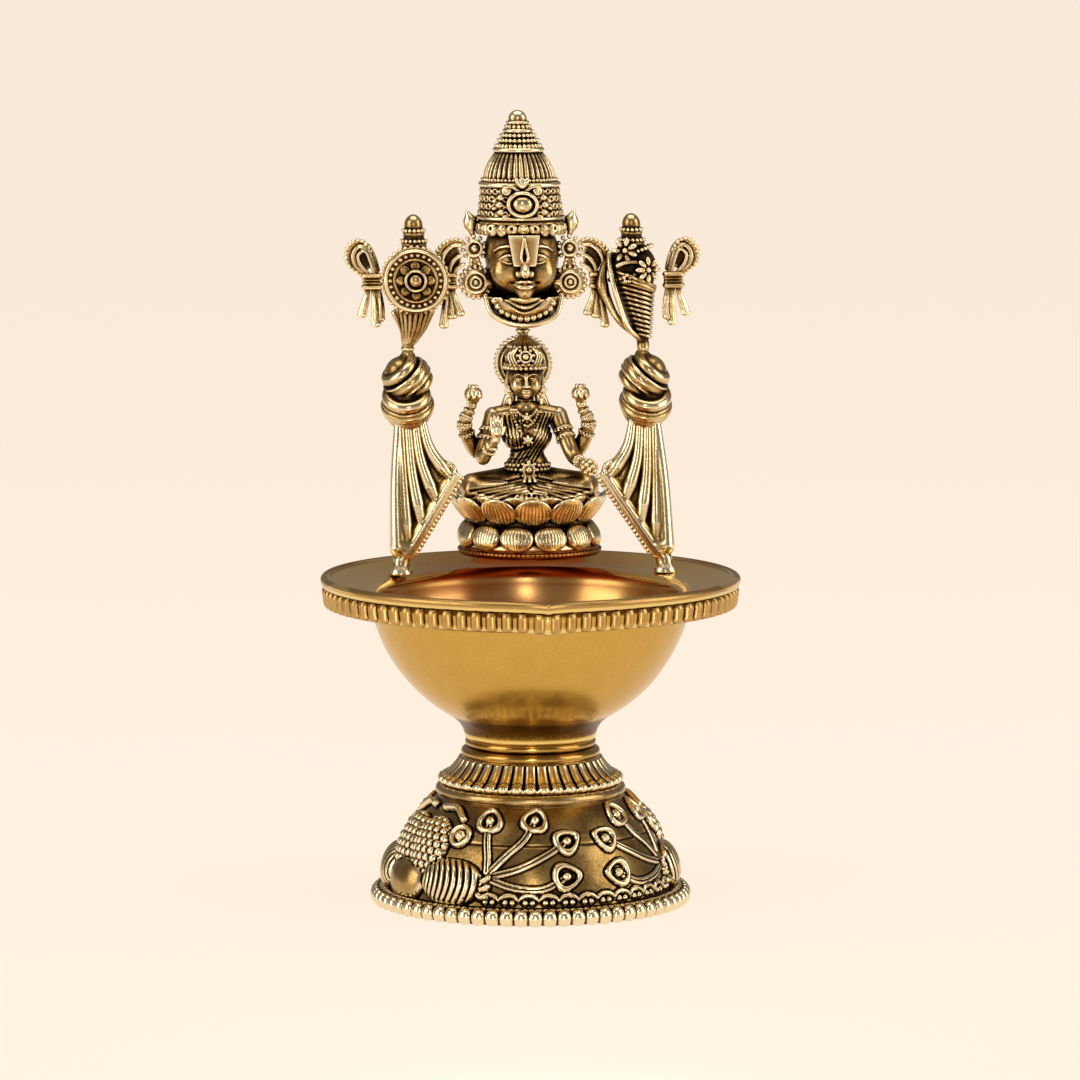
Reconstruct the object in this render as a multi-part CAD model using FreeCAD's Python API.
import FreeCAD, Part
import os
from math import cos, radians, sin, sqrt, tan

from FreeCAD import Vector

# A small standing oil lamp in cast brass, in millimetres. The origin is the centre of the foot's
# underside, +Z is up, the dish's beak points to -Y and the standing group is on the +Y side.
# Foot, collar, neck ring and dish are turned about Z and drawn together by one tie stud.
# The standing group is built about its own middle plane, which leans slightly to one side.

# Foot: a hollow bell with a beaded flange and a round shoulder.
foot_radius = 33.2
foot_flange_height = 3.2
foot_dome_radius = 29.4
foot_dome_height = 19.4
foot_dome_bulge = 1.8
foot_wall = 2.2
shoulder_radius = 20.0
shoulder_height = 2.3

# Fluted collar and turned neck ring between the foot and the dish.
collar_radius = 18.9
collar_edge = 1.0
collar_height = 5.8
collar_hollow = 0.6
neck_radius = 14.6
neck_ring_height = 3.9
neck_bead_step = 1.0

# Dish: a hemispherical well with a flat brim, a raised lip and a pointed beak.
dish_spigot_radius = 13.7
bowl_radius = 34.1
bowl_wall = 2.5
bowl_clear_of_neck = 0.3
bowl_flare_height = 3.4
well_floor_thickness = 5.8
brim_width = 9.7
rim_taper = 0.9
rim_depth = 6.3
brim_drop = 2.3
lip_below_centre = 0.3
lip_width = 2.0
lip_flat = 1.2
beak_reach = 4.4
beak_half_width = 19.2

# Tie stud with its washer and nut, inside the foot.
stud_radius = 2.5
stud_clearance = 0.2
thread_clearance = 0.05
stud_end_gap = 0.2
stud_depth_in_dish = 4.4
stud_tail = 1.5
washer_radius = 9.0
washer_thickness = 1.2
nut_across_flats = 8.0
nut_height = 4.0

# The group's middle plane: its place on X at the lip, and how it leans with height.
group_x = 2.2
group_lean = -0.031

# Plinth and double lotus, on the back of the lip.
plinth_radius = 15.3
plinth_overhang = 1.5
plinth_thickness = 1.8
plinth_pad_height = 0.9
plinth_drum_radius = 10.0
lotus_waist_radius = 12.8
lower_petal_radius = 15.7
lower_petal_height = 5.7
upper_petal_radius = 17.4
upper_petal_height = 5.2
petal_thickness = 1.9
seat_recess = 0.7

# Seated figure: legs, torso, head, crown, disc behind the head and four arms.
figure_forward = 2.0
legs_half_width = 14.9
legs_half_depth = 9.6
legs_height = 5.7
waist_half_width = 4.5
waist_half_depth = 3.2
shoulder_half_width = 7.0
torso_height = 14.6
neck_half_width = 2.0
head_half_width = 3.8
head_height = 8.2
figure_crown_height = 6.4
halo_radius = 6.2
halo_thickness = 1.4
halo_above_crown = -0.5
arm_radius = 1.7
hand_radius = 1.25
bud_radius = 2.0
shoulder_level = 0.8

# Arm joints, from the middle of the waist: out to the side, back, and up.
raised_elbow = (9.9, -4.0, 3.3)
raised_hand = (6.8, -8.6, 8.6)
giving_elbow = (9.6, -3.0, 3.4)
giving_hand = (11.4, -8.8, 2.1)
rear_elbow = (10.4, 0.6, 4.2)
rear_wrist = (13.0, -1.0, 9.6)
rear_hand = (11.4, -1.6, 14.4)
bunch_from_hand = (0.6, -1.8, -0.3)

# Draped pillars with their knots. They stand on the brim and lean back towards the figure.
# Sideways offsets are from the foot, and heights are above the brim.
pillar_from_well = 3.35
pillar_angle = 54.1
pillar_back_angle = 6.5
pillar_thickness = 3.4
pillar_foot_radius = 1.8
pillar_foot_height = 4.0
pillar_outer_offset = 1.4
pillar_top_outer_offset = -0.9
pillar_top_inner_offset = -6.5
pillar_height = 30.8
pillar_tuck = 1.2
hem_tip_offset = -13.7
hem_tip_height = 21.6
hem_drop = 2.4
knot_offset = -3.3
knot_radius = 5.9
knot_waist = 5.2
knot_height = 15.0
knot_neck_radius = 2.4

# Wheel emblem and conch emblem on top of the knots.
emblem_foot_offset = -3.7
emblem_offset = -5.3
emblem_foot_radius = 1.3
emblem_middle_above_mask = 11.4
emblem_top_height = 12.2
wheel_radius = 7.1
wheel_thickness = 2.2
wheel_core_radius = 4.4
wheel_core_wide_share = 0.6
hub_radius = 2.4
hub_height = 1.0
conch_radius = 5.3
conch_wide_share = 0.78
conch_above_middle = 5.6
conch_lip_reach = 6.6
flower_radius = 2.8
finial_base_radius = 3.0
finial_tip_radius = 0.7

# Ribbon bows each side of both emblems.
ribbon_thickness = 2.2
ribbon_band_radius = 1.8
ribbon_band_height = 3.4
ribbon_loop_half_width = 2.7
ribbon_loop_height = 8.6
ribbon_loop_rim = 1.5
ribbon_loop_lean = 1.3
ribbon_tail_length = 8.6
ribbon_tail_width = 2.2
ribbon_overlap = 0.7
ribbon_stay_radius = 0.9

# Crowned mask over the figure.
mask_behind_knots = 1.46
mask_above_halo = 2.6
gorget_height = 5.4
gorget_half_width = 8.0
face_height = 14.2
face_half_width = 8.1
face_half_depth = 7.4
crown_band_height = 3.4
crown_band_half_width = 9.3
crown_drum_height = 6.4
crown_drum_half_width = 9.0
crown_ring_height = 1.7
crown_dome_height = 5.7
crown_dome_half_width = 7.5
crown_finial_height = 8.7
crown_finial_half_width = 4.9
crown_roundness = 0.8
jewel_half_width = 3.4
jewel_half_height = 2.8
mark_top_half_width = 3.4
mark_bottom_half_width = 2.3
mark_height = 6.6
trim_depth = 1.3
ear_stand = 1.9
ear_thickness = 2.6
ear_low_radius = 3.6
ear_high_radius = 2.3
ear_spacing = 7.3
ear_height = 8.9
horn_height = 4.2
horn_width = 2.4
link_radius = 1.3

# Heights and places that follow.
dome_top = foot_flange_height + foot_dome_height
foot_top = dome_top + shoulder_height
foot_ceiling = foot_top - foot_wall
stud_hole_radius = stud_radius + stud_clearance
collar_top = foot_top + collar_height
neck_top = collar_top + neck_ring_height
bowl_centre = neck_top + bowl_radius + bowl_clear_of_neck
lip_top = bowl_centre - lip_below_centre
brim_top = lip_top - brim_drop
rim_radius = bowl_radius + brim_width
rim_bottom = lip_top - rim_depth
well_radius = bowl_radius - bowl_wall
well_floor = neck_top + well_floor_thickness
plinth_bottom = lip_top + plinth_pad_height
plinth_top = plinth_bottom + plinth_thickness
lotus_y = rim_radius + plinth_overhang - plinth_radius
lotus_waist = plinth_top + lower_petal_height
petal_top = lotus_waist + upper_petal_height
seat_top = petal_top - seat_recess
figure_y = lotus_y - figure_forward
waist_z = seat_top + legs_height
neck_z = waist_z + torso_height
brow_z = neck_z + head_height
figure_top = brow_z + figure_crown_height
halo_y = figure_y + head_half_width * 0.9
halo_z = figure_top + halo_above_crown - halo_radius
mask_bottom = halo_z + halo_radius + mask_above_halo
face_bottom = mask_bottom + gorget_height
face_top = face_bottom + face_height
band_top = face_top + crown_band_height
drum_top = band_top + crown_drum_height
ring_top = drum_top + crown_ring_height
dome_crown_top = ring_top + crown_dome_height
ear_x = face_half_width + ear_stand
ear_low_z = mask_bottom + ear_height
pillar_x = (well_radius + pillar_from_well) * sin(radians(pillar_angle))
pillar_y = (well_radius + pillar_from_well) * cos(radians(pillar_angle))
pillar_top_z = brim_top + pillar_height
hem_tip_z = brim_top + hem_tip_height
knot_x = pillar_x + knot_offset
knot_y = pillar_y + (pillar_height + knot_height / 2) * tan(radians(pillar_back_angle))
knot_top = pillar_top_z + knot_height
mask_y = knot_y + mask_behind_knots
emblem_foot_x = pillar_x + emblem_foot_offset
emblem_x = pillar_x + emblem_offset
emblem_middle = mask_bottom + emblem_middle_above_mask
emblem_top = emblem_middle + emblem_top_height
ribbon_band_z = emblem_middle - ribbon_band_height / 2
ribbon_outer_x = emblem_x + wheel_radius + ribbon_band_radius
ribbon_reach = ribbon_loop_half_width + ribbon_loop_lean - ribbon_overlap
ribbon_inner_x = ear_x + ear_high_radius + ribbon_reach


def outline(place, start, steps):
    """A closed wire. A step is an end point, or a pair: a point the arc passes and its end."""
    edges = []
    here = place(start)
    for step in list(steps) + [start]:
        if isinstance(step[0], tuple):
            end = place(step[1])
            edges.append(Part.Arc(here, place(step[0]), end).toShape())
        else:
            end = place(step)
            edges.append(Part.makeLine(here, end))
        here = end
    return Part.Wire(edges)


def turned(start, *steps):
    """A solid turned about Z from an outline of radius and height."""
    wire = outline(lambda p: Vector(p[0], 0, p[1]), start, steps)
    return Part.Face(wire).revolve(Vector(0, 0, 0), Vector(0, 0, 1), 360)


def plate(front_y, thickness, start, *steps):
    """A flat plate that faces -Y, from an outline of X and Z."""
    wire = outline(lambda p: Vector(p[0], front_y, p[1]), start, steps)
    return Part.Face(wire).extrude(Vector(0, thickness, 0))


def bulged(a, b, bulge):
    """The point that an arc from a to b passes, standing out from the chord by the bulge."""
    chord = sqrt((b[0] - a[0]) ** 2 + (b[1] - a[1]) ** 2)
    across = ((b[1] - a[1]) / chord, (a[0] - b[0]) / chord)
    return ((a[0] + b[0]) / 2 + across[0] * bulge, (a[1] + b[1]) / 2 + across[1] * bulge)


def stacked(y, *levels):
    """A smooth body through ellipses. A level is a height, a half width and a half depth."""
    wires = []
    for z, half_width, half_depth in levels:
        ellipse = Part.Ellipse(Vector(0, y, z), half_width, half_depth)
        wires.append(Part.Wire([ellipse.toShape()]))
    return Part.makeLoft(wires, True, False)


def disc(x, front_y, z, radius, thickness):
    """A round disc that faces -Y."""
    return Part.makeCylinder(radius, thickness, Vector(x, front_y, z), Vector(0, 1, 0))


def limb(points, radii):
    """A round limb through joints, with a ball at each joint."""
    body = Part.makeSphere(radii[0], Vector(*points[0]))
    for start, end, r0, r1 in zip(points, points[1:], radii, radii[1:]):
        run = Vector(*end) - Vector(*start)
        if abs(r0 - r1) < 1e-6:
            bone = Part.makeCylinder(r0, run.Length, Vector(*start), run)
        else:
            bone = Part.makeCone(r0, r1, run.Length, Vector(*start), run)
        body = body.fuse(bone).fuse(Part.makeSphere(r1, Vector(*end)))
    return body.removeSplitter()


def sway(z):
    """Where the group's leaning middle plane is at a height."""
    return group_x + group_lean * (z - lip_top)


def leaned(shape, z):
    """A group piece moved from the plane X = 0 onto the leaning middle plane."""
    return shape.translated(Vector(sway(z), 0, 0))


def make_foot():
    rest_inner = foot_dome_radius - foot_wall
    edge = foot_flange_height / 2
    dome_low = (foot_dome_radius, foot_flange_height)
    dome_high = (shoulder_radius - 0.6, dome_top)
    inner_low = (rest_inner, foot_flange_height)
    inner_high = (dome_high[0] - foot_wall, foot_ceiling)
    return turned(
        (rest_inner, 0),
        (foot_radius - edge, 0),
        ((foot_radius, edge), (foot_radius - edge, foot_flange_height)),
        dome_low,
        (bulged(dome_low, dome_high, foot_dome_bulge), dome_high),
        ((shoulder_radius, dome_top + shoulder_height / 2), (collar_radius, foot_top)),
        (stud_hole_radius, foot_top),
        (stud_hole_radius, foot_ceiling),
        inner_high,
        (bulged(inner_low, inner_high, foot_dome_bulge), inner_low),
    )


def make_fluted_collar():
    low = (collar_radius, foot_top + collar_edge)
    high = (neck_radius, collar_top)
    return turned(
        (stud_hole_radius, foot_top),
        (collar_radius, foot_top),
        low,
        (bulged(low, high, -collar_hollow), high),
        (stud_hole_radius, collar_top),
    )


def make_neck_ring():
    half = neck_ring_height / 2
    low_bead = neck_radius - neck_bead_step / 2
    high_bead = neck_radius - neck_bead_step * 1.5
    return turned(
        (stud_hole_radius, collar_top),
        (low_bead, collar_top),
        ((neck_radius, collar_top + half / 2), (low_bead, collar_top + half)),
        (high_bead, collar_top + half),
        ((neck_radius - neck_bead_step, neck_top - half / 2), (high_bead, neck_top)),
        (stud_hole_radius, neck_top),
    )


def on_sphere(radius, z):
    return (sqrt(radius**2 - (z - bowl_centre) ** 2), z)


def beak_outline(inset):
    """Half an ogee each side of the tip, drawn on the rim circle, as seen from above."""
    radius = rim_radius - inset
    shoulder_x = beak_half_width - inset
    shoulder_y = -sqrt(radius**2 - shoulder_x**2)
    tip = Vector(0, -(rim_radius + beak_reach - inset * 1.4), 0)
    edges = []
    for side in (-1, 1):
        curve = Part.BezierCurve()
        curve.setPoles([
            Vector(side * shoulder_x, shoulder_y, 0),
            Vector(side * shoulder_x * 0.62, -radius * 1.005, 0),
            Vector(side * shoulder_x * 0.22, -radius * 1.01, 0),
            tip,
        ])
        edges.append(curve.toShape())
    edges.append(Part.makeLine(Vector(-shoulder_x, shoulder_y, 0), Vector(shoulder_x, shoulder_y, 0)))
    return Part.Face(Part.Wire(Part.__sortEdges__(edges)))


def make_dish():
    rim_low_radius = rim_radius - rim_taper
    bowl_low = on_sphere(bowl_radius, neck_top + bowl_flare_height)
    bowl_high = on_sphere(bowl_radius, rim_bottom)
    bowl_middle = on_sphere(bowl_radius, (bowl_low[1] + bowl_high[1]) / 2 - 3)
    well_low = on_sphere(well_radius, well_floor)
    well_high = on_sphere(well_radius, brim_top)
    well_middle = on_sphere(well_radius, (well_low[1] + well_high[1]) / 2 - 3)
    lip_side = (lip_width - lip_flat) / 2
    body = turned(
        (0, neck_top),
        (dish_spigot_radius, neck_top),
        (bulged((dish_spigot_radius, neck_top), bowl_low, -0.3), bowl_low),
        (bowl_middle, bowl_high),
        (rim_low_radius, rim_bottom),
        (rim_radius, lip_top - lip_side),
        (rim_radius - lip_side, lip_top),
        (rim_radius - lip_width + lip_side, lip_top),
        (rim_radius - lip_width, lip_top - lip_side),
        (rim_radius - lip_width, brim_top),
        well_high,
        (well_middle, well_low),
        (0, well_floor),
    )
    beak = beak_outline(0).extrude(Vector(0, 0, rim_depth))
    beak.translate(Vector(0, 0, rim_bottom))
    well = Part.makeSphere(well_radius, Vector(0, 0, bowl_centre))
    channel = beak_outline(lip_width).extrude(Vector(0, 0, brim_drop + 1))
    channel.translate(Vector(0, 0, brim_top))
    stud_hole = Part.makeCylinder(
        stud_radius + thread_clearance, stud_depth_in_dish + stud_end_gap, Vector(0, 0, neck_top)
    )
    return body.fuse(beak).cut(well).cut(channel).cut(stud_hole).removeSplitter()


def make_tie_stud():
    low = foot_ceiling - washer_thickness - nut_height - stud_tail
    return Part.makeCylinder(stud_radius, neck_top + stud_depth_in_dish - low, Vector(0, 0, low))


def make_clamp_washer():
    low = foot_ceiling - washer_thickness
    return turned(
        (stud_hole_radius, low),
        (washer_radius, low),
        (washer_radius, foot_ceiling),
        (stud_hole_radius, foot_ceiling),
    )


def make_clamp_nut():
    low = foot_ceiling - washer_thickness - nut_height
    corner_radius = nut_across_flats / sqrt(3)
    blank = Part.makeCylinder(corner_radius, nut_height, Vector(0, 0, low))
    hexagon = Part.makeBox(nut_across_flats, corner_radius * 2, nut_height,
                           Vector(-nut_across_flats / 2, -corner_radius, low))
    for angle in (0, 60, 120):
        slab = hexagon.copy()
        slab.rotate(Vector(0, 0, 0), Vector(0, 0, 1), angle)
        blank = blank.common(slab)
    return blank.cut(Part.makeCylinder(stud_radius + thread_clearance, nut_height, Vector(0, 0, low)))


def make_plinth():
    middle = Vector(sway(plinth_top), lotus_y, 0)
    round_plate = Part.makeCylinder(plinth_radius, plinth_thickness, middle + Vector(0, 0, plinth_bottom))
    drum = Part.makeCylinder(plinth_drum_radius, lower_petal_height, middle + Vector(0, 0, plinth_top))
    lip_side = (lip_width - lip_flat) / 2
    ring = turned(
        (rim_radius - lip_width + lip_side, lip_top),
        (rim_radius - lip_side, lip_top),
        (rim_radius - lip_side, plinth_bottom),
        (rim_radius - lip_width + lip_side, plinth_bottom),
    )
    footprint = Part.makeCylinder(plinth_radius, plinth_pad_height, middle + Vector(0, 0, lip_top))
    return round_plate.fuse(drum).fuse(ring.common(footprint)).removeSplitter()


def lotus_place(shape):
    return shape.translated(Vector(sway(plinth_top), lotus_y, 0))


def make_lotus_lower_petals():
    low = (lower_petal_radius, plinth_top)
    high = (lotus_waist_radius, lotus_waist)
    return lotus_place(turned(
        (plinth_drum_radius, plinth_top),
        low,
        (bulged(low, high, petal_thickness / 3), high),
        (plinth_drum_radius, lotus_waist),
    ))


def make_lotus_upper_petals():
    inner_low = (lotus_waist_radius - petal_thickness, lotus_waist)
    inner_high = (upper_petal_radius - petal_thickness, petal_top)
    outer_low = (lotus_waist_radius, lotus_waist)
    outer_high = (upper_petal_radius, petal_top)
    return lotus_place(turned(
        inner_low,
        outer_low,
        (bulged(outer_low, outer_high, petal_thickness / 3), outer_high),
        inner_high,
    ))


def make_lotus_seat():
    slope = (upper_petal_radius - lotus_waist_radius) / upper_petal_height
    low_radius = lotus_waist_radius - petal_thickness
    return lotus_place(turned(
        (0, lotus_waist),
        (low_radius, lotus_waist),
        (low_radius + slope * (upper_petal_height - seat_recess), seat_top),
        (0, seat_top),
    ))


def make_figure_legs():
    body = stacked(
        figure_y,
        (seat_top, legs_half_width * 0.9, legs_half_depth * 0.9),
        (seat_top + legs_height * 0.4, legs_half_width, legs_half_depth),
        (waist_z, legs_half_width * 0.5, legs_half_depth * 0.55),
    )
    return leaned(body, seat_top)


def make_figure_torso():
    body = stacked(
        figure_y,
        (waist_z, waist_half_width * 1.15, waist_half_depth * 1.15),
        (waist_z + torso_height * 0.18, waist_half_width, waist_half_depth),
        (waist_z + torso_height * 0.55, shoulder_half_width * 0.8, waist_half_depth * 1.15),
        (waist_z + torso_height * 0.8, shoulder_half_width, waist_half_depth),
        (neck_z, neck_half_width, neck_half_width * 0.95),
    )
    return leaned(body, seat_top)


def make_figure_head():
    body = stacked(
        figure_y,
        (neck_z, neck_half_width, neck_half_width * 0.95),
        (neck_z + head_height * 0.22, neck_half_width * 1.1, neck_half_width * 1.05),
        (neck_z + head_height * 0.62, head_half_width, head_half_width * 0.95),
        (brow_z, head_half_width, head_half_width * 0.95),
    )
    return leaned(body, neck_z).cut(make_halo())


def make_figure_crown():
    body = stacked(
        figure_y,
        (brow_z, head_half_width + 0.3, head_half_width),
        (brow_z + figure_crown_height * 0.5, head_half_width * 0.86, head_half_width * 0.84),
        (figure_top, head_half_width * 0.34, head_half_width * 0.33),
    )
    return leaned(body, neck_z).cut(make_halo())


def make_halo():
    return disc(sway(neck_z), halo_y, halo_z, halo_radius, halo_thickness)


def arm_joint(side, offset):
    return (side * offset[0], figure_y + offset[1], waist_z + offset[2])


def make_arms():
    """Two front arms and two rear arms, each cut where it meets what was placed before it."""
    shoulder = (shoulder_half_width, 0, torso_height * shoulder_level)
    rear_shoulder = (shoulder_half_width, arm_radius, torso_height * shoulder_level)
    front_radii = [arm_radius * 1.1, arm_radius, hand_radius]
    rear_radii = [arm_radius, arm_radius * 0.95, arm_radius * 0.85, hand_radius * 0.8]
    rear_joints = [rear_shoulder, rear_elbow, rear_wrist, rear_hand]
    routes = (
        ("arm_raised", -1, [shoulder, raised_elbow, raised_hand], front_radii),
        ("arm_giving", 1, [shoulder, giving_elbow, giving_hand], front_radii),
        ("arm_rear_right", -1, rear_joints, rear_radii),
        ("arm_rear_left", 1, rear_joints, rear_radii),
    )
    placed = [make_figure_torso(), make_figure_legs()]
    arms = {}
    for name, side, joints, radii in routes:
        arm = leaned(limb([arm_joint(side, joint) for joint in joints], radii), seat_top)
        for neighbour in placed:
            arm = arm.cut(neighbour)
        arms[name] = largest(arm)
        placed.append(arms[name])
    return arms


def largest(shape):
    """The biggest solid of a cut that leaves a crumb beyond its neighbour."""
    return max(shape.Solids, key=lambda solid: solid.Volume)


def make_buds(arms):
    """Lotus buds in the two rear hands, and the round bunch in the hand on the knee."""
    bud_x, bud_back, bud_up = rear_hand
    bud_joint = (bud_x, bud_back, bud_up + bud_radius)
    bunch_joint = tuple(a + b for a, b in zip(giving_hand, bunch_from_hand))
    buds = {}
    for name, side, joint, arm in (
        ("bud_right", -1, bud_joint, "arm_rear_right"),
        ("bud_left", 1, bud_joint, "arm_rear_left"),
        ("bunch", 1, bunch_joint, "arm_giving"),
    ):
        ball = leaned(Part.makeSphere(bud_radius, Vector(*arm_joint(side, joint))), seat_top)
        buds[name] = largest(ball.cut(arms[arm]).cut(make_figure_legs()))
    return buds


def make_pillar(side):
    """A fall of cloth gathered under a knot, with a slanting hem and a round foot on the brim."""
    foot_top_z = brim_top + pillar_foot_height
    tucked_z = pillar_top_z + pillar_tuck
    inner_x = pillar_x + pillar_top_inner_offset
    tip_x = pillar_x + hem_tip_offset
    cloth = plate(
        pillar_y - pillar_thickness / 2, pillar_thickness,
        (side * (pillar_x - pillar_foot_radius), foot_top_z),
        (side * (pillar_x + pillar_outer_offset), foot_top_z),
        (side * (pillar_x + pillar_top_outer_offset), tucked_z),
        (side * inner_x, tucked_z),
        ((side * (inner_x - hem_drop), hem_tip_z + hem_drop * 1.5), (side * tip_x, hem_tip_z)),
        (side * tip_x, hem_tip_z - hem_drop),
    )
    cloth.rotate(Vector(0, pillar_y, foot_top_z), Vector(1, 0, 0), -pillar_back_angle)
    foot = Part.makeCone(pillar_foot_radius, pillar_thickness / 2, pillar_foot_height,
                         Vector(side * pillar_x, pillar_y, brim_top))
    body = leaned(cloth.fuse(foot), brim_top)
    for neighbour in (make_knot(side), make_figure_legs(), make_lotus_upper_petals()):
        body = body.cut(neighbour)
    return largest(body).removeSplitter()


def make_knot(side):
    body = turned(
        (0, pillar_top_z),
        (knot_neck_radius, pillar_top_z),
        ((knot_radius, pillar_top_z + knot_height * 0.32), (knot_waist, pillar_top_z + knot_height * 0.5)),
        ((knot_radius * 0.96, pillar_top_z + knot_height * 0.74), (emblem_foot_radius, knot_top)),
        (0, knot_top),
    )
    return leaned(body.translated(Vector(side * knot_x, knot_y, 0)), pillar_top_z)


def emblem_core(side, radius, wide_share, low_radius, top):
    """The slanting cone between a knot and an emblem, and its rounding in above the widest place."""
    low = Part.Wire([Part.makeCircle(low_radius, Vector(side * emblem_foot_x, knot_y, knot_top))])
    wide_z = knot_top + (top - knot_top) * wide_share
    wide = Part.Wire([Part.makeCircle(radius, Vector(side * emblem_x, knot_y, wide_z))])
    high = Part.Wire([Part.makeCircle(finial_base_radius, Vector(side * emblem_x, knot_y, top))])
    return Part.makeLoft([low, wide, high], True, False)


def make_finial(side):
    """A stepped, ringed spike."""
    steps = []
    tiers = 4
    rise = emblem_top_height / tiers
    slope = (finial_base_radius - finial_tip_radius) / tiers
    for tier in range(tiers):
        radius = finial_base_radius - slope * tier
        z = emblem_middle + rise * tier
        steps.append((radius, z))
        steps.append((radius - slope * 0.4, z + rise))
    spike = turned((0, emblem_middle), *steps, (0, emblem_top))
    return leaned(spike.translated(Vector(side * emblem_x, knot_y, 0)), emblem_middle)


def make_wheel_emblem():
    z = emblem_middle - wheel_radius * 0.2
    front = knot_y - wheel_core_radius - wheel_thickness / 2
    wheel = leaned(disc(-emblem_x, front, z, wheel_radius, wheel_thickness), z)
    hub = leaned(disc(-emblem_x, front - hub_height, z, hub_radius, hub_height), z)
    stem = leaned(
        emblem_core(-1, wheel_core_radius, wheel_core_wide_share, emblem_foot_radius, emblem_middle),
        knot_top,
    )
    return {
        "wheel": wheel,
        "wheel_hub": hub,
        "wheel_stem": largest(stem.cut(wheel)),
        "wheel_finial": largest(make_finial(-1).cut(wheel)),
    }


def make_conch_emblem():
    conch_top = emblem_middle + conch_above_middle
    shell = emblem_core(1, conch_radius, conch_wide_share, emblem_foot_radius * 0.9, conch_top)
    lip_z = (knot_top + emblem_middle) / 2
    lip = plate(
        knot_y - 1.0, 2.0,
        (emblem_foot_x, knot_top + 2.0),
        ((emblem_x - conch_lip_reach + 1.2, lip_z - 3.0), (emblem_x - conch_lip_reach, lip_z + 2.0)),
        (emblem_x - 3.0, emblem_middle - 1.0),
    )
    shell = leaned(shell.fuse(lip).removeSplitter(), knot_top)
    finial = largest(make_finial(1).cut(shell))
    flowers = []
    spread = flower_radius * 0.8
    for x, z in ((-spread, conch_top - spread * 0.5), (spread, conch_top - spread * 2.4)):
        flower = disc(emblem_x + x, knot_y - conch_radius, z, flower_radius, conch_radius)
        flowers.append(nearest_front(leaned(flower, knot_top).cut(shell).cut(finial)))
    return {
        "conch_shell": shell,
        "conch_flowers": Part.makeCompound(flowers),
        "conch_finial": finial,
    }


def make_ribbon(side, x, outward):
    """A bow end: one teardrop loop above a band, two flared tails below, and a stay behind."""
    band_low = ribbon_band_z - ribbon_band_height / 2
    band_high = band_low + ribbon_band_height
    front = knot_y - ribbon_thickness / 2
    lean = outward * ribbon_loop_lean
    body = Part.makeCylinder(ribbon_band_radius, ribbon_band_height, Vector(x, knot_y, band_low))
    loop = teardrop(x, lean, band_high, ribbon_loop_height, ribbon_loop_half_width, front)
    hole = teardrop(x + lean * 0.2, lean * 0.8, band_high + ribbon_loop_rim * 1.6,
                    ribbon_loop_height - ribbon_loop_rim * 2.6,
                    ribbon_loop_half_width - ribbon_loop_rim, front)
    body = body.fuse(loop.cut(hole))
    for reach, length in ((-0.8, 1.0), (2.4, 0.78)):
        foot_x = x + outward * reach
        foot_z = band_low - ribbon_tail_length * length
        body = body.fuse(plate(
            front, ribbon_thickness,
            (x - ribbon_tail_width * 0.4, band_low + 0.4),
            (x + ribbon_tail_width * 0.4, band_low + 0.4),
            (foot_x + ribbon_tail_width / 2, foot_z),
            (foot_x - ribbon_tail_width / 2, foot_z),
        ))
    stay_run = Vector(side * emblem_x - x, 0, 0)
    stay = Part.makeCylinder(ribbon_stay_radius, stay_run.Length,
                             Vector(x, knot_y, ribbon_band_z), stay_run)
    return leaned(body.fuse(stay).removeSplitter(), ribbon_band_z)


def teardrop(x, lean, low, height, half_width, front):
    """A loop-shaped plate: a point at the bottom, round at the top, leaning by the offset."""
    round_z = low + height - half_width
    x_top = x + lean
    return plate(
        front, ribbon_thickness,
        (x - 0.5, low - 0.6),
        (x_top - half_width, round_z),
        ((x_top, low + height), (x_top + half_width, round_z)),
        (x + 0.5, low - 0.6),
    )


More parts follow.
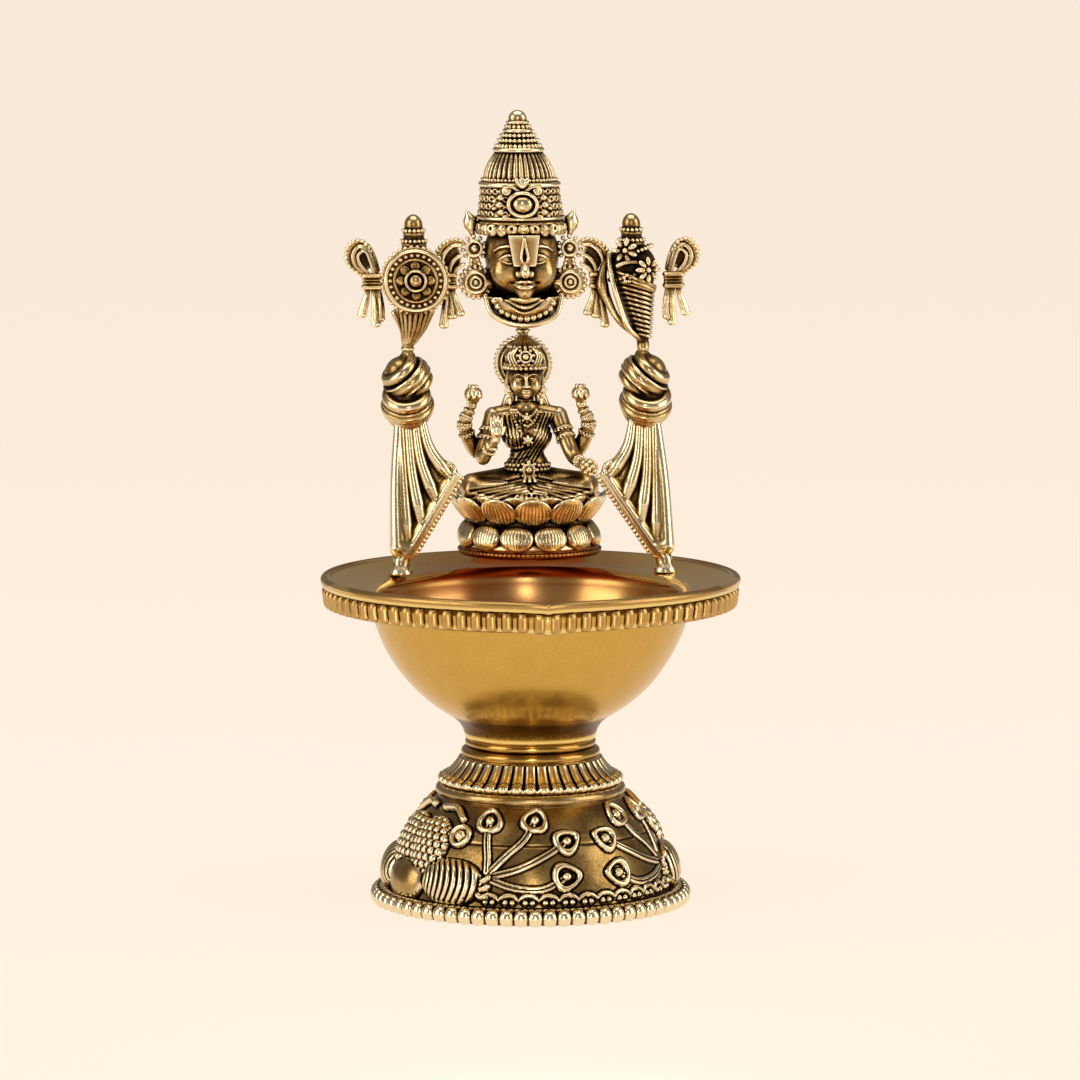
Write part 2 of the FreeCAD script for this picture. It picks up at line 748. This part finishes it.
def make_mask():
    pieces = {}
    face = stacked(
        mask_y,
        (face_bottom, face_half_width * 0.38, face_half_depth * 0.4),
        (face_bottom + face_height * 0.2, face_half_width * 0.78, face_half_depth * 0.8),
        (face_bottom + face_height * 0.55, face_half_width, face_half_depth),
        (face_top, face_half_width, face_half_depth),
    )
    gorget = stacked(
        mask_y,
        (mask_bottom, gorget_half_width * 0.4, gorget_half_width * 0.34),
        (mask_bottom + gorget_height * 0.4, gorget_half_width * 0.85, gorget_half_width * 0.7),
        (face_bottom, gorget_half_width, gorget_half_width * 0.8),
    )
    pieces["mask_face"] = leaned(face, face_top)
    pieces["gorget"] = leaned(gorget, face_top)
    depth = crown_roundness
    pieces["crown_band"] = leaned(stacked(
        mask_y,
        (face_top, crown_band_half_width, crown_band_half_width * depth),
        (band_top, crown_band_half_width, crown_band_half_width * depth),
    ), face_top)
    pieces["crown_drum"] = leaned(stacked(
        mask_y,
        (band_top, crown_drum_half_width, crown_drum_half_width * depth),
        (drum_top, crown_drum_half_width * 0.9, crown_drum_half_width * 0.9 * depth),
    ), band_top)
    ring_half = crown_drum_half_width * 0.94
    pieces["crown_ring"] = leaned(stacked(
        mask_y,
        (drum_top, ring_half, ring_half * depth),
        (ring_top, ring_half, ring_half * depth),
    ), drum_top)
    dome_middle = crown_dome_half_width * 0.94
    dome_high = crown_finial_half_width * 1.06
    pieces["crown_dome"] = leaned(stacked(
        mask_y,
        (ring_top, crown_dome_half_width, crown_dome_half_width * depth),
        (ring_top + crown_dome_height * 0.5, dome_middle, dome_middle * depth),
        (dome_crown_top, dome_high, dome_high * depth),
    ), ring_top)
    tall = crown_finial_height
    pieces["crown_finial"] = leaned(stacked(
        mask_y,
        (dome_crown_top, crown_finial_half_width, crown_finial_half_width * depth),
        (dome_crown_top + tall * 0.45, crown_finial_half_width * 0.58, crown_finial_half_width * 0.5),
        (dome_crown_top + tall * 0.75, crown_finial_half_width * 0.44, crown_finial_half_width * 0.4),
        (dome_crown_top + tall, crown_finial_half_width * 0.16, crown_finial_half_width * 0.14),
    ), dome_crown_top)
    return pieces


def make_mask_trim(mask):
    """Pieces fixed on the front and sides of the mask, each cut to sit on what is behind it."""
    front = mask_y - crown_drum_half_width * crown_roundness
    jewel_z = band_top + crown_drum_height * 0.45
    jewel = Part.Ellipse(Vector(0, front - trim_depth, jewel_z), jewel_half_width, jewel_half_height)
    jewel.Axis = Vector(0, 1, 0)
    stone = Part.Face(Part.Wire([jewel.toShape()])).extrude(Vector(0, trim_depth * 4, 0))
    stone = leaned(stone, band_top).cut(mask["crown_drum"]).cut(mask["crown_band"])
    face_front = mask_y - face_half_depth
    mark = leaned(plate(
        face_front - trim_depth, trim_depth * 4,
        (-mark_top_half_width, face_top),
        (mark_top_half_width, face_top),
        (mark_bottom_half_width, face_top - mark_height),
        (-mark_bottom_half_width, face_top - mark_height),
    ), face_top).cut(mask["mask_face"])
    trim = {"brow_jewel": nearest_front(stone), "forehead_mark": nearest_front(mark)}
    horns = []
    for side, name in ((-1, "ear_trim_right"), (1, "ear_trim_left")):
        low = disc(side * ear_x, mask_y - ear_thickness, ear_low_z, ear_low_radius, ear_thickness)
        high = disc(side * ear_x, mask_y - ear_thickness, ear_low_z + ear_spacing,
                    ear_high_radius, ear_thickness)
        bar = Part.makeCylinder(ear_high_radius * 0.6, ear_spacing,
                                Vector(side * ear_x, mask_y - ear_thickness / 2, ear_low_z))
        pair = leaned(low.fuse(high).fuse(bar), face_top)
        trim[name] = largest(pair.cut(mask["mask_face"]).cut(mask["gorget"]))
        root_x = side * (crown_band_half_width - 0.6)
        horn = leaned(plate(
            mask_y - 1.0, 2.0,
            (root_x, face_top + 0.4),
            (root_x + side * horn_width * 1.3, face_top + 0.8),
            ((root_x + side * horn_width * 1.5, face_top + horn_height * 0.7),
             (root_x + side * horn_width, face_top + horn_height)),
            ((root_x + side * horn_width * 0.6, face_top + horn_height * 0.7), (root_x, face_top + 1.6)),
        ), face_top)
        horns.append(largest(horn.cut(mask["crown_band"]).cut(mask["crown_drum"])))
    trim["crown_horns"] = Part.makeCompound(horns)
    return trim


def nearest_front(shape):
    """The solid nearest to -Y, where a cut leaves one in front and one behind."""
    return min(shape.Solids, key=lambda solid: solid.CenterOfMass.y)


def make_link_post(halo, gorget):
    """The short post that carries the mask on the top of the disc behind the head."""
    low = halo_z + halo_radius * 0.8
    post = limb([(0, halo_y + halo_thickness / 2, low), (0, mask_y + 1.0, mask_bottom + 1.6)],
                [link_radius, link_radius])
    post = leaned(post, mask_bottom)
    return largest(post.cut(halo).cut(gorget).cut(make_figure_crown()))


parts = {
    "foot": make_foot(),
    "fluted_collar": make_fluted_collar(),
    "neck_ring": make_neck_ring(),
    "dish": make_dish(),
    "tie_stud": make_tie_stud(),
    "clamp_washer": make_clamp_washer(),
    "clamp_nut": make_clamp_nut(),
    "plinth": make_plinth(),
    "lotus_lower_petals": make_lotus_lower_petals(),
    "lotus_upper_petals": make_lotus_upper_petals(),
    "lotus_seat": make_lotus_seat(),
    "figure_legs": make_figure_legs(),
    "figure_torso": make_figure_torso(),
    "figure_head": make_figure_head(),
    "figure_crown": make_figure_crown(),
    "halo": make_halo(),
}
parts.update(make_arms())
parts.update(make_buds(parts))
for side, hand in ((-1, "right"), (1, "left")):
    parts["pillar_" + hand] = make_pillar(side)
    parts["knot_" + hand] = make_knot(side)
parts.update(make_wheel_emblem())
parts.update(make_conch_emblem())
mask = make_mask()
parts.update(mask)
parts.update(make_mask_trim(mask))
bows = (
    ("ribbon_wheel_outer", -1, -ribbon_outer_x, -1),
    ("ribbon_wheel_inner", -1, -ribbon_inner_x, 1),
    ("ribbon_conch_inner", 1, ribbon_inner_x, -1),
    ("ribbon_conch_outer", 1, ribbon_outer_x, 1),
)
behind = ("wheel", "wheel_stem", "wheel_finial", "conch_shell", "conch_finial", "conch_flowers",
          "ear_trim_right", "ear_trim_left", "knot_right", "knot_left")
for name, side, x, outward in bows:
    bow = make_ribbon(side, x, outward)
    for neighbour in behind:
        bow = bow.cut(parts[neighbour])
    parts[name] = largest(bow)
parts["link_post"] = make_link_post(parts["halo"], parts["gorget"])

os.makedirs("parts", exist_ok=True)
for name, shape in parts.items():
    shape.exportStep("parts/" + name + ".step")
